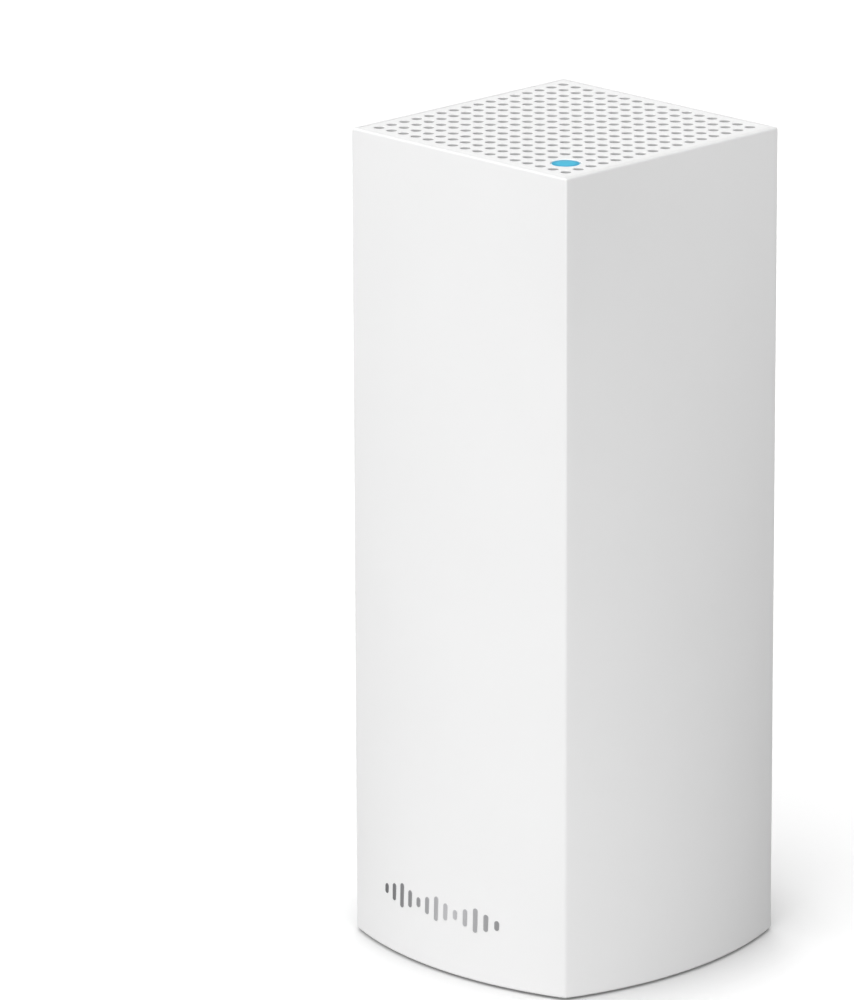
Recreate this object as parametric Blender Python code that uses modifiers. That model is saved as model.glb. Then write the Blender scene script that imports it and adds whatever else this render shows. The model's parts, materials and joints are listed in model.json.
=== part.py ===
"""A tall mesh wifi node, built as it comes apart on a bench.

A square white sleeve stands on rubber feet. Its four walls are straight along the top edge and bow
outwards towards the bottom, and a perforated lid with a round status light closes it. Inside, a plastic
frame holds the main board between two heatsinks, with six antennas round it. The sockets, the power
switch and the reset button face down into a well in the base, and cables leave through a slot in the
rear wall.

Every size and place below is in millimetres, and the functions that make meshes turn them to metres. +Z
is up, the origin is on the floor at the middle of the base, -Y is the wall with the badge, +Y is the
rear, and the status light is in the corner between +X and -Y.
"""

import math

import bmesh
import bpy
from mathutils import Matrix, Vector

MM = 0.001
GAP = 0.3

# Outer shape
HEIGHT = 185.0
SIDE = 65.7
BOW = 6.65
WALL = 2.2
WALL_STEPS = 10
SLEEVE_LOW = 0.5
HALF = SIDE / 2
BOW_RADIUS = (HALF**2 + BOW**2) / (2 * BOW)

# Lid: a plate with a square grid of holes, set flush inside the sleeve's rim
RIM = 1.2
LEDGE = 2.6
LID_THICK = 2.0
LID_LOW = HEIGHT - LID_THICK
HOLES_PER_SIDE = 16
HOLE_PITCH = 3.8
HOLE_RADIUS = 1.2
HOLE_SIDES = 8
FIRST_HOLE = -HOLE_PITCH * (HOLES_PER_SIDE - 1) / 2

# Status light, in place of the second and third holes from the corner, each way
LIGHT_RADIUS = 3.25
LIGHT_HOLES = (1, 2)
LIGHT_OFFSET = HOLE_PITCH * (HOLES_PER_SIDE / 2 - sum(LIGHT_HOLES) / 2 - 0.5)
LIGHT_X = LIGHT_OFFSET
LIGHT_Y = -LIGHT_OFFSET
LIGHT_STEM_RADIUS = 2.0

# Base, with the well that the sockets face down into
BASE_LOW = 1.2
BASE_TOP = 5.2
WELL_X = 23.0
WELL_Y = 17.0
WELL_WALL = 2.0
WELL_ROOF = 38.0
ROOF_TOP = 42.0
FLANGE_HALF = 28.3
SLOT_HALF = 10.0
SLOT_TOP = 10.0
SLOT_END = 35.7

# Feet, and the screws they cover
FOOT_AT = 24.0
FOOT_RADIUS = 4.5
FOOT_HEIGHT = 1.7
HEAD_RADIUS = 2.6
SHANK_RADIUS = 1.2
HEAD_HEIGHT = 1.3
SCREW_LOW = 2.1
BOSS_HALF = 20.8
BOSS_OUTER = 32.0
BOSS_TOP = 17.0

# Sockets and controls, all with their faces at one height just inside the well's roof
FACE = 38.2
JACK_WIDE = 16.0
JACK_DEEP = 13.5
JACK_TALL = 16.0
JACK_X = 9.5
JACK_Y = -1.1 - JACK_DEEP / 2
DC_X = -12.5
DC_Y = 6.8
SWITCH_X = 2.0
SWITCH_Y = 8.5
ROCKER_TILT = 10.0
RESET_X = 14.5
RESET_Y = 8.0

# Frame, main board and heatsinks
FRAME_HALF = 28.3
FRAME_WALL = 2.3
FRAME_LOW = ROOF_TOP + GAP
FRAME_TOP = 168.0
WINDOW_LOW = 50.0
WINDOW_TOP = 98.0
BOARD_HALF = 26.9
BOARD_LOW = 43.0
BOARD_TOP = 161.7
BOARD_FACE = 0.8
CHIP_FACE = BOARD_FACE + GAP
SINK_FACE = 5.2
SINK_BASE = 2.0
SINK_TIP = 17.0
SINK_HALF = 21.0
SINK_LOW = 60.0
SINK_TOP = 158.0
FINS = 9
FIN_PITCH = 3.5
FIN_THICK = 1.2
SINK_SCREWS = [(x, z) for x in (-18.5, 18.5) for z in (66.0, 152.0)]

# Antennas
ANTENNA_THICK = 0.8
ANTENNA_PLANE = FRAME_HALF + GAP + ANTENNA_THICK / 2
ANTENNA_LOW = 104.0
ANTENNA_SIDE = 13.0
LEAD_RADIUS = 0.6

# Colour, roughness and metallic of each finish
FINISHES = {
    "white_shell": ((0.84, 0.84, 0.84), 0.5, 0.0),
    "light_diffuser": ((0.25, 0.66, 0.80), 0.3, 0.0),
    "white_base": ((0.78, 0.78, 0.78), 0.55, 0.0),
    "grey_rubber": ((0.12, 0.12, 0.125), 0.85, 0.0),
    "silver_foil": ((0.62, 0.62, 0.62), 0.3, 1.0),
    "label_film": ((0.72, 0.73, 0.74), 0.45, 0.0),
    "black_frame": ((0.03, 0.03, 0.032), 0.6, 0.0),
    "circuit_board": ((0.02, 0.12, 0.06), 0.4, 0.0),
    "aluminium": ((0.70, 0.71, 0.72), 0.4, 1.0),
    "tinned_steel": ((0.62, 0.62, 0.60), 0.35, 1.0),
    "chip_epoxy": ((0.025, 0.025, 0.03), 0.45, 0.0),
    "thermal_pad": ((0.35, 0.42, 0.55), 0.8, 0.0),
    "lead_jacket": ((0.04, 0.04, 0.045), 0.5, 0.0),
    "ceramic_antenna": ((0.75, 0.75, 0.70), 0.3, 0.0),
    "black_plastic": ((0.02, 0.02, 0.022), 0.45, 0.0),
    "brass": ((0.75, 0.58, 0.30), 0.3, 1.0),
    "red_button": ((0.55, 0.03, 0.03), 0.4, 0.0),
    "led_lens": ((0.85, 0.88, 0.80), 0.2, 0.0),
}


def clear_scene():
    for obj in list(bpy.data.objects):
        bpy.data.objects.remove(obj)


def new_collection(name):
    collection = bpy.data.collections.new(name)
    bpy.context.scene.collection.children.link(collection)
    return collection


def new_material(name):
    colour, roughness, metallic = FINISHES[name]
    material = bpy.data.materials.new(name)
    material.use_nodes = True
    shader = material.node_tree.nodes["Principled BSDF"]
    shader.inputs["Base Color"].default_value = (*colour, 1)
    shader.inputs["Roughness"].default_value = roughness
    shader.inputs["Metallic"].default_value = metallic
    return material


clear_scene()
PARTS = new_collection("mesh_wifi_node")
CUTTERS = new_collection("cutters")
MATERIALS = {name: new_material(name) for name in FINISHES}


# ---- Ways to make a shape

def place(x, y, z, turn=None):
    """A world matrix from a place in millimetres and an optional rotation."""
    return Matrix.Translation(Vector((x, y, z)) * MM) @ (turn or Matrix())


def add(name, data, finish, matrix=None):
    data.materials.append(MATERIALS[finish])
    obj = bpy.data.objects.new(name, data)
    obj.matrix_world = matrix or Matrix()
    PARTS.objects.link(obj)
    return obj


def add_bmesh(name, bm, finish, matrix=None):
    mesh = bpy.data.meshes.new(name)
    bm.to_mesh(mesh)
    bm.free()
    return add(name, mesh, finish, matrix)


def box(name, low, high, finish="white_base"):
    """A box between two corners."""
    size = (Vector(high) - Vector(low)) * MM
    centre = (Vector(high) + Vector(low)) / 2
    bm = bmesh.new()
    bmesh.ops.create_cube(bm, size=1, matrix=place(*centre) @ Matrix.Diagonal((*size, 1)))
    return add_bmesh(name, bm, finish)


def pegs(name, centres, radius, low, high, along_y=False, sides=12):
    """Cylinders that stand on the given (x, y) places, or lie along Y at the given (x, z) places."""
    bm = bmesh.new()
    middle = (low + high) / 2
    lie = Matrix.Rotation(math.pi / 2, 4, "X")
    for first, second in centres:
        spot = place(first, middle, second, lie) if along_y else place(first, second, middle)
        bmesh.ops.create_cone(
            bm, cap_ends=True, segments=sides, radius1=radius * MM, radius2=radius * MM,
            depth=(high - low) * MM, matrix=spot,
        )
    return add_bmesh(name, bm, "white_base")


def outline(name, loops, thickness, finish, matrix):
    """A flat plate from closed outlines. The first is its edge, and the others are holes."""
    curve = bpy.data.curves.new(name, "CURVE")
    curve.dimensions = "2D"
    curve.fill_mode = "BOTH"
    curve.extrude = thickness / 2 * MM
    for loop in loops:
        spline = curve.splines.new("POLY")
        spline.points.add(len(loop) - 1)
        for point, (x, y) in zip(spline.points, loop):
            point.co = (x * MM, y * MM, 0, 1)
        spline.use_cyclic_u = True
    return add(name, curve, finish, matrix)


def prism(name, plan, low, high, finish):
    """A straight upright piece: one outline in plan, extruded from one height to another."""
    bm = bmesh.new()
    base = bm.faces.new([bm.verts.new((x * MM, y * MM, low * MM)) for x, y in plan])
    swept = bmesh.ops.extrude_face_region(bm, geom=[base])["geom"]
    top = [item for item in swept if isinstance(item, bmesh.types.BMVert)]
    bmesh.ops.translate(bm, verts=top, vec=(0, 0, (high - low) * MM))
    bmesh.ops.recalc_face_normals(bm, faces=bm.faces)
    return add_bmesh(name, bm, finish)


def turned(name, profile, finish, matrix, steps=16):
    """A round piece from its outer side, given as (radius, height) from top to bottom."""
    bm = bmesh.new()
    verts = [bm.verts.new((radius * MM, 0, height * MM)) for radius, height in profile]
    for upper, lower in zip(verts, verts[1:]):
        bm.edges.new((upper, lower))
    obj = add_bmesh(name, bm, finish, matrix)
    screw = obj.modifiers.new("Screw", "SCREW")
    screw.steps = steps
    screw.render_steps = steps
    screw.use_merge_vertices = True
    screw.merge_threshold = 0.00001
    screw.use_smooth_shade = True
    return obj


def tube(name, route, radius, finish, samples=3):
    """A thin lead along a smooth curve through the route's points."""
    points = smooth_route(route, samples)
    curve = bpy.data.curves.new(name, "CURVE")
    curve.dimensions = "3D"
    curve.bevel_depth = radius * MM
    curve.bevel_resolution = 2
    curve.use_fill_caps = True
    spline = curve.splines.new("POLY")
    spline.points.add(len(points) - 1)
    for point, where in zip(spline.points, points):
        point.co = (*(where * MM), 1)
    return add(name, curve, finish)


def smooth_route(route, samples):
    """Points along the Catmull-Rom curve through a route."""
    route = [Vector(p) for p in route]
    ends = [2 * route[0] - route[1], *route, 2 * route[-1] - route[-2]]
    points = []
    for a, b, c, d in zip(ends, ends[1:], ends[2:], ends[3:]):
        for step in range(samples):
            t = step / samples
            bend = 2 * a - 5 * b + 4 * c - d
            twist = 3 * b - a - 3 * c + d
            points.append((2 * b + (c - a) * t + bend * t**2 + twist * t**3) / 2)
    return points + [route[-1]]


def can(name, low, high, wall, open_side, finish):
    """A thin box with one side left open: a shield over chips."""
    obj = box(name, low, high, finish)
    bm = bmesh.new()
    bm.from_mesh(obj.data)
    bm.normal_update()
    lid = max(bm.faces, key=lambda face: face.normal.dot(Vector(open_side)))
    bmesh.ops.delete(bm, geom=[lid], context="FACES_ONLY")
    bm.to_mesh(obj.data)
    bm.free()
    shell = obj.modifiers.new("Wall", "SOLIDIFY")
    shell.thickness = wall * MM
    shell.offset = -1
    shell.use_even_offset = True
    return obj


# ---- Ways to cut and join

def combine(target, shape, operation):
    PARTS.objects.unlink(shape)
    CUTTERS.objects.link(shape)
    shape.hide_render = True
    shape.display_type = "WIRE"
    modifier = target.modifiers.new(shape.name, "BOOLEAN")
    modifier.operation = operation
    modifier.object = shape


def cut(target, shape):
    combine(target, shape, "DIFFERENCE")


def join(target, shape):
    combine(target, shape, "UNION")


# ---- The bowed square that the sleeve, the base and the badge follow

def bow_at(along, height):
    """How far a side wall stands out of the straight square."""
    arc = math.sqrt(BOW_RADIUS**2 - along**2) - (BOW_RADIUS - BOW)
    return arc * (1 - height / HEIGHT)


def wall_point(along, height, inset):
    """A point on the -Y wall, set in from its outer face."""
    half = HALF - inset
    return along * half / HALF, -half - bow_at(along, height)


def section(height, inset):
    """The closed plan at a height, as (x, y) points."""
    side = [wall_point(SIDE * step / WALL_STEPS - HALF, height, inset) for step in range(WALL_STEPS)]
    points = []
    for quarter in range(4):
        turn = Matrix.Rotation(quarter * math.pi / 2, 2)
        points += [turn @ Vector(point) for point in side]
    return points


def ring_loft(name, rings, finish):
    """A closed shell through rings of points. Each ring joins the next, and the last joins the first."""
    bm = bmesh.new()
    loops = []
    for height, inset in rings:
        loops.append([bm.verts.new((x * MM, y * MM, height * MM)) for x, y in section(height, inset)])
    for lower, upper in zip(loops, loops[1:] + loops[:1]):
        for step, vert in enumerate(lower):
            bm.faces.new((lower[step - 1], vert, upper[step], upper[step - 1]))
    return add_bmesh(name, bm, finish)


# ---- Shell

CORNERS = [(x, y) for x in (-1, 1) for y in (-1, 1)]
FEET = [(x * FOOT_AT, y * FOOT_AT) for x, y in CORNERS]


def make_outer_sleeve():
    rings = [
        (SLEEVE_LOW, 0),
        (HEIGHT, 0),
        (HEIGHT, RIM),
        (LID_LOW - GAP, RIM),
        (LID_LOW - GAP, LEDGE),
        (SLEEVE_LOW, WALL),
    ]
    sleeve = ring_loft("outer_sleeve", rings, "white_shell")
    boss_low = BASE_TOP + GAP
    for index, (x, y) in enumerate(CORNERS):
        inner = (x * BOSS_HALF, y * BOSS_HALF)
        outer = (x * BOSS_OUTER, y * BOSS_OUTER)
        low = (min(inner[0], outer[0]), min(inner[1], outer[1]), boss_low)
        high = (max(inner[0], outer[0]), max(inner[1], outer[1]), BOSS_TOP)
        join(sleeve, box(f"sleeve_boss_{index}", low, high))
    cut(sleeve, pegs("boss_holes", FEET, SHANK_RADIUS + GAP, boss_low - 1, BOSS_TOP - 2))
    cut(sleeve, box("sleeve_slot", (-SLOT_HALF, HALF - WALL - 1, -1), (SLOT_HALF, HALF + BOW + 1, SLOT_TOP)))
    return sleeve


def circle(x, y, radius, sides):
    turn = math.pi / sides
    angles = [turn + 2 * math.pi * side / sides for side in range(sides)]
    return [(x + radius * math.cos(a), y + radius * math.sin(a)) for a in angles]


def make_lid_grille():
    half = HALF - RIM - GAP
    loops = [[(-half, -half), (half, -half), (half, half), (-half, half)]]
    for column in range(HOLES_PER_SIDE):
        for row in range(HOLES_PER_SIDE):
            if HOLES_PER_SIDE - 1 - column in LIGHT_HOLES and row in LIGHT_HOLES:
                continue
            x = FIRST_HOLE + column * HOLE_PITCH
            y = FIRST_HOLE + row * HOLE_PITCH
            loops.append(circle(x, y, HOLE_RADIUS, HOLE_SIDES))
    loops.append(circle(LIGHT_X, LIGHT_Y, LIGHT_RADIUS + GAP, 24))
    middle = LID_LOW + LID_THICK / 2
    return outline("top_grille", loops, LID_THICK, "white_shell", place(0, 0, middle))


def make_status_light():
    stem_low = 171.1
    profile = [
        (0, HEIGHT),
        (LIGHT_RADIUS, HEIGHT),
        (LIGHT_RADIUS, LID_LOW),
        (LIGHT_STEM_RADIUS, LID_LOW - 2),
        (LIGHT_STEM_RADIUS, stem_low),
        (0, stem_low),
    ]
    turned("status_light_pipe", profile, "light_diffuser", place(LIGHT_X, LIGHT_Y, 0), steps=24)
    board_low = FRAME_TOP + GAP
    board_top = board_low + 1
    box("led_board", (17.5, -28, board_low), (28, -17.5, board_top), "circuit_board")
    led_half = 1.6
    low = (LIGHT_X - led_half, LIGHT_Y - led_half, board_top + GAP)
    high = (LIGHT_X + led_half, LIGHT_Y + led_half, board_top + GAP + 1.2)
    box("status_led", low, high, "led_lens")
    route = [
        (17.1, -22.5, 168.8), (14, -22.2, 168.7), (11, -17, 168),
        (10, -8, 166.5), (10, -1.5, 165), (10, 0, 162.3),
    ]
    tube("led_lead", route, LEAD_RADIUS, "lead_jacket")


def make_front_badge():
    """A thin foil strip low on the -Y wall, which follows the wall's bow."""
    left, right = -19.8, 17.6
    low, high = 11.6, 17.3
    steps = 6
    stand_off, thickness = GAP, 0.2
    bm = bmesh.new()
    rows = []
    for height in (low, high):
        row = []
        for step in range(steps + 1):
            along = left + (right - left) * step / steps
            x, y = wall_point(along, height, 0)
            row.append(bm.verts.new((x * MM, (y - stand_off) * MM, height * MM)))
        rows.append([bm.edges.new(pair) for pair in zip(row, row[1:])])
    bmesh.ops.bridge_loops(bm, edges=rows[0] + rows[1])
    bm.normal_update()
    if next(iter(bm.faces)).normal.y > 0:
        bmesh.ops.reverse_faces(bm, faces=bm.faces)
    badge = add_bmesh("front_badge", bm, "silver_foil")
    foil = badge.modifiers.new("Foil", "SOLIDIFY")
    foil.thickness = thickness * MM
    foil.offset = 1


# ---- Base

def make_base_tray():
    tray = prism("base_tray", section(BASE_TOP, WALL + GAP), BASE_LOW, BASE_TOP, "white_base")
    well_x = WELL_X + WELL_WALL
    well_y = WELL_Y + WELL_WALL
    slot_x = SLOT_HALF + WELL_WALL
    slot_top = SLOT_TOP + WELL_WALL
    join(tray, box("well_outside", (-well_x, -well_y, 2), (well_x, well_y, ROOF_TOP - 1)))
    flange = ROOF_TOP - 2
    join(tray, box("flange", (-FLANGE_HALF, -FLANGE_HALF, flange), (FLANGE_HALF, FLANGE_HALF, ROOF_TOP)))
    join(tray, box("slot_outside", (-slot_x, WELL_Y, 2.5), (slot_x, SLOT_END, slot_top)))
    cut(tray, box("well", (-WELL_X, -WELL_Y, -1), (WELL_X, WELL_Y, WELL_ROOF)))
    cut(tray, box("slot", (-SLOT_HALF, WELL_Y - 1, -2), (SLOT_HALF, HALF + BOW, SLOT_TOP)))
    cut(tray, pegs("foot_pockets", FEET, FOOT_RADIUS + GAP, -1, FOOT_HEIGHT + GAP, sides=48))
    head_top = SCREW_LOW + HEAD_HEIGHT
    cut(tray, pegs("screw_heads", FEET, HEAD_RADIUS + GAP, 1, head_top + GAP))
    cut(tray, pegs("screw_holes", FEET, SHANK_RADIUS + GAP, 2, BASE_TOP + 1))
    for name, low, high in roof_openings():
        roof_low = (low[0] - GAP, low[1] - GAP, WELL_ROOF - 1)
        roof_high = (high[0] + GAP, high[1] + GAP, ROOF_TOP + 1)
        cut(tray, box(f"{name}_opening", roof_low, roof_high))
    cut(tray, pegs("reset_opening", [(RESET_X, RESET_Y)], 1.8 + GAP, WELL_ROOF - 1, ROOF_TOP + 1, sides=32))
    return tray


def roof_openings():
    """The bodies that stand through the well's roof, as (name, low corner, high corner) in plan."""
    jack = (JACK_WIDE / 2, JACK_DEEP / 2)
    return [
        ("lan_jack_1", (-JACK_X - jack[0], JACK_Y - jack[1]), (-JACK_X + jack[0], JACK_Y + jack[1])),
        ("lan_jack_2", (JACK_X - jack[0], JACK_Y - jack[1]), (JACK_X + jack[0], JACK_Y + jack[1])),
        ("dc_jack", (DC_X - 5.5, DC_Y - 5.7), (DC_X + 5.5, DC_Y + 5.7)),
        ("power_switch_body", (SWITCH_X - 5.3, SWITCH_Y - 7.4), (SWITCH_X + 5.3, SWITCH_Y + 7.4)),
    ]


def make_feet_and_base_screws():
    foot = [(0, FOOT_HEIGHT), (FOOT_RADIUS, FOOT_HEIGHT), (FOOT_RADIUS, 0.4), (FOOT_RADIUS - 0.4, 0), (0, 0)]
    head_top = SCREW_LOW + HEAD_HEIGHT
    tip = head_top + 9
    screw = [
        (0, tip),
        (SHANK_RADIUS, tip),
        (SHANK_RADIUS, head_top),
        (HEAD_RADIUS, head_top),
        (HEAD_RADIUS, SCREW_LOW),
        (1.2, SCREW_LOW),
        (0.9, SCREW_LOW + 0.7),
        (0, SCREW_LOW + 0.7),
    ]
    for index, (x, y) in enumerate(FEET, start=1):
        turned(f"rubber_foot_{index}", foot, "grey_rubber", place(x, y, 0))
        turned(f"base_screw_{index}", screw, "tinned_steel", place(x, y, 0), steps=12)


def make_rating_label():
    low = BASE_LOW - GAP - 0.2
    box("rating_label", (-15, -31, low), (15, -20, BASE_LOW - GAP), "label_film")


# ---- Sockets and controls

def make_lan_jacks():
    """Two network sockets with an opening for the plug and a slot for its latch."""
    openings = dict((name, (low, high)) for name, low, high in roof_openings())
    plug_x, plug_y, plug_deep = 5.95, 4.2, 12.5
    latch_x, latch_deep = 3.1, 9.0
    plug_centre = JACK_Y + 0.8
    for index, x in ((1, -JACK_X), (2, JACK_X)):
        name = f"lan_jack_{index}"
        low, high = openings[name]
        jack = box(name, (*low, FACE), (*high, FACE + JACK_TALL), "black_plastic")
        plug_low = (x - plug_x, plug_centre - plug_y, FACE - 1)
        plug_high = (x + plug_x, plug_centre + plug_y, FACE + plug_deep)
        cut(jack, box(f"{name}_plug", plug_low, plug_high))
        latch_low = (x - latch_x, JACK_Y - JACK_DEEP / 2 + 1.2, FACE - 1)
        latch_high = (x + latch_x, plug_centre, FACE + latch_deep)
        cut(jack, box(f"{name}_latch", latch_low, latch_high))


def make_dc_jack():
    low, high = next((low, high) for name, low, high in roof_openings() if name == "dc_jack")
    top = FACE + 14
    bore_top = top - 3
    pin_radius = 1.0
    jack = box("dc_jack", (*low, FACE), (*high, top), "black_plastic")
    cut(jack, pegs("dc_bore", [(DC_X, DC_Y)], 3.1, FACE - 1, bore_top, sides=20))
    cut(jack, pegs("dc_pin_hole", [(DC_X, DC_Y)], pin_radius + GAP, bore_top - 1, top + 1))
    pin = [
        (0, top - 0.5), (pin_radius, top - 0.5), (pin_radius, FACE + 2.1),
        (pin_radius - 0.4, FACE + 1.6), (0, FACE + 1.6),
    ]
    turned("dc_pin", pin, "brass", place(DC_X, DC_Y, 0), steps=12)


def make_power_switch():
    """A rocker on a cross axle. At rest its -Y end is pressed in, and it swings over to the +Y end."""
    low, high = next((low, high) for name, low, high in roof_openings() if name == "power_switch_body")
    body = box("power_switch_body", (*low, FACE), (*high, FACE + 14), "black_plastic")
    pivot_z = FACE + 3.3
    hollow_low = (SWITCH_X - 4.1, SWITCH_Y - 6.2, FACE - 1)
    hollow_high = (SWITCH_X + 4.1, SWITCH_Y + 6.2, pivot_z + 4.8)
    cut(body, box("switch_hollow", hollow_low, hollow_high))
    half_shape = [(0, -2.6), (5.2, -4.1), (4.6, 0), (3.2, 2.6)]
    shape = half_shape + [(-x, y) for x, y in reversed(half_shape[1:])]
    tilt = Matrix.Rotation(math.radians(-ROCKER_TILT), 4, "X")
    upright = Matrix.Rotation(math.pi / 2, 4, "Z") @ Matrix.Rotation(math.pi / 2, 4, "X")
    outline("power_rocker", [shape], 7.6, "black_plastic", place(SWITCH_X, SWITCH_Y, pivot_z, tilt @ upright))


def make_reset():
    """A button that slides up through the well's roof and presses a small switch on the main board."""
    flange_low = ROOF_TOP + GAP
    flange_top = flange_low + 1.2
    button_low = 37.4
    button = [
        (0, flange_top),
        (2.8, flange_top),
        (2.8, flange_low),
        (1.8, flange_low),
        (1.8, button_low + 0.3),
        (1.5, button_low),
        (0, button_low),
    ]
    turned("reset_button", button, "red_button", place(RESET_X, RESET_Y, 0))
    switch_low = (RESET_X - 3, CHIP_FACE, flange_top + 1)
    switch_high = (RESET_X + 3, RESET_Y + 3, flange_top + 5.5)
    box("reset_switch", switch_low, switch_high, "black_plastic")


# ---- Frame, board and heatsinks

def make_inner_frame():
    inner = FRAME_HALF - FRAME_WALL
    half = FRAME_HALF
    frame = box("inner_frame", (-half, -half, FRAME_LOW), (half, half, FRAME_TOP), "black_frame")
    cut(frame, box("frame_inside", (-inner, -inner, FRAME_LOW - 1), (inner, inner, FRAME_TOP + 1)))
    cut(frame, box("front_rear_windows", (-22, -half - 1, WINDOW_LOW), (22, half + 1, WINDOW_TOP)))
    for side, low, high in (("front", -22, -3), ("rear", 3, 22)):
        cut(frame, box(f"side_windows_{side}", (-half - 1, low, WINDOW_LOW), (half + 1, high, WINDOW_TOP)))
    groove_x = BOARD_HALF + GAP
    groove_y = BOARD_FACE + GAP
    groove_top = (groove_x, groove_y, BOARD_TOP + GAP)
    cut(frame, box("board_groove", (-groove_x, -groove_y, FRAME_LOW - 1), groove_top))
    return frame


def make_main_board():
    low = (-BOARD_HALF, -BOARD_FACE, BOARD_LOW)
    high = (BOARD_HALF, BOARD_FACE, BOARD_TOP)
    board = box("main_board", low, high, "circuit_board")
    cut(board, pegs("board_holes", SINK_SCREWS, SHANK_RADIUS + GAP, -2, 2, along_y=True))
    return board


def on_board(name, side, across, up, depth, finish, lift=0.0):
    """A flat piece on the board: side is -1 for its front and 1 for its rear."""
    near = CHIP_FACE + lift
    ends = sorted((side * near, side * (near + depth)))
    return box(name, (across[0], ends[0], up[0]), (across[1], ends[1], up[1]), finish)


def make_electronics():
    on_board("processor", -1, (-7, 7), (73, 87), 1.0, "chip_epoxy")
    on_board("radio_chip_1", -1, (-10, -2), (112, 120), 1.0, "chip_epoxy")
    on_board("radio_chip_2", -1, (2, 10), (112, 120), 1.0, "chip_epoxy")
    on_board("radio_chip_3", 1, (-4.5, 4.5), (99.5, 108.5), 1.0, "chip_epoxy")
    on_board("memory_chip", 1, (-6, 6), (66, 76), 1.2, "chip_epoxy")
    on_board("flash_chip", 1, (9, 15), (67, 75), 1.2, "chip_epoxy")
    on_board("bluetooth_antenna", -1, (22.5, 25.5), (140, 152), 0.8, "ceramic_antenna")
    shield_deep = 2.5
    pad_deep = SINK_FACE - CHIP_FACE - shield_deep - 2 * GAP
    shields = [
        ("processor", -1, (66, 94)),
        ("front_radio", -1, (104, 128)),
        ("rear_radio", 1, (92, 116)),
    ]
    for name, side, (low, high) in shields:
        ends = sorted((side * CHIP_FACE, side * (CHIP_FACE + shield_deep)))
        can(f"{name}_shield", (-14, ends[0], low), (14, ends[1], high), 0.5, (0, -side, 0), "tinned_steel")
        lift = shield_deep + GAP
        on_board(f"{name}_thermal_pad", side, (-12, 12), (low + 2, high - 2), pad_deep, "thermal_pad", lift)


def heatsink_plan(side):
    """The comb-shaped section of a heatsink: a flat plate with fins that stand away from the board."""
    plate = SINK_FACE + SINK_BASE
    points = [(-SINK_HALF, SINK_FACE), (SINK_HALF, SINK_FACE), (SINK_HALF, plate)]
    for fin in reversed(range(FINS)):
        centre = (fin - (FINS - 1) / 2) * FIN_PITCH
        right = centre + FIN_THICK / 2
        left = centre - FIN_THICK / 2
        points += [(right, plate), (right, SINK_TIP), (left, SINK_TIP), (left, plate)]
    points.append((-SINK_HALF, plate))
    return [(x, side * y) for x, y in points]


def make_heatsinks():
    for name, side in (("front_heatsink", -1), ("rear_heatsink", 1)):
        sink = prism(name, heatsink_plan(side), SINK_LOW, SINK_TOP, "aluminium")
        ends = sorted((side * (SINK_FACE - 1), side * (SINK_FACE + SINK_BASE + 1)))
        cut(sink, pegs(f"{name}_holes", SINK_SCREWS, SHANK_RADIUS + GAP, *ends, along_y=True))
    head_low = SINK_FACE + SINK_BASE + GAP
    head_top = head_low + HEAD_HEIGHT
    tip = -(SINK_FACE + SINK_BASE - 0.4)
    screw = [
        (0, head_top - 0.7),
        (0.9, head_top - 0.7),
        (1.2, head_top),
        (HEAD_RADIUS, head_top),
        (HEAD_RADIUS, head_low),
        (SHANK_RADIUS, head_low),
        (SHANK_RADIUS, tip),
        (0, tip),
    ]
    forward = Matrix.Rotation(math.pi / 2, 4, "X")
    for index, (x, z) in enumerate(SINK_SCREWS, start=1):
        turned(f"heatsink_screw_{index}", screw, "tinned_steel", place(x, 0, z, forward), steps=12)


# ---- Antennas

def make_antennas():
    """A slotted foil antenna on each half of the two side walls, and on the front and rear walls."""
    foil = [(-6, 0), (6, 0), (6, 45), (1, 45), (1, 7), (-1.5, 7), (-1.5, 45), (-6, 45)]
    upright = Matrix.Rotation(math.pi / 2, 4, "X")
    sideways = Matrix.Rotation(math.pi / 2, 4, "Z") @ upright
    side_route = [
        (29.3, 13, 103.1), (29.3, 13, 98.5), (28.6, 12.6, 93.5),
        (26, 10, 88), (24.3, 5, 85), (24, 1.2, 84.5),
    ]
    for index, (x, y) in enumerate(CORNERS, start=1):
        spot = place(x * ANTENNA_PLANE, y * ANTENNA_SIDE, ANTENNA_LOW, sideways)
        outline(f"antenna_{index}", [foil], ANTENNA_THICK, "brass", spot)
        route = [(x * a, y * b, c) for a, b, c in side_route]
        tube(f"antenna_lead_{index}", route, LEAD_RADIUS, "lead_jacket")
    front_route = [
        (0, -29.3, 103.1), (0, -29.3, 98.5), (2, -28.4, 93), (10, -25, 86),
        (20, -21, 81), (24, -12, 77), (24, -1.2, 76),
    ]
    for index, side in ((5, 1), (6, -1)):
        spot = place(0, -side * ANTENNA_PLANE, ANTENNA_LOW, upright)
        outline(f"antenna_{index}", [foil], ANTENNA_THICK, "brass", spot)
        route = [(side * a, side * b, c) for a, b, c in front_route]
        tube(f"antenna_lead_{index}", route, LEAD_RADIUS, "lead_jacket")


make_outer_sleeve()
make_lid_grille()
make_status_light()
make_front_badge()
make_base_tray()
make_feet_and_base_screws()
make_rating_label()
make_lan_jacks()
make_dc_jack()
make_power_switch()
make_reset()
make_inner_frame()
make_main_board()
make_electronics()
make_heatsinks()
make_antennas()
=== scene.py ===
# %% [markdown]
# # A mesh wifi node
#
# The node is a tall white tower that stands on a table. Its four walls are straight along the top edge
# and bow out towards the bottom. The lid is a grid of round holes with one round light in a corner.
#
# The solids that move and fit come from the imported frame. This script loads them, never moves them, and
# builds the fine surface around them: rounded edges, real holes, contacts, and a material for every
# piece.

# %% Load the frame
import json
import math

import bmesh
import bpy
from mathutils import Matrix, Vector


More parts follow.
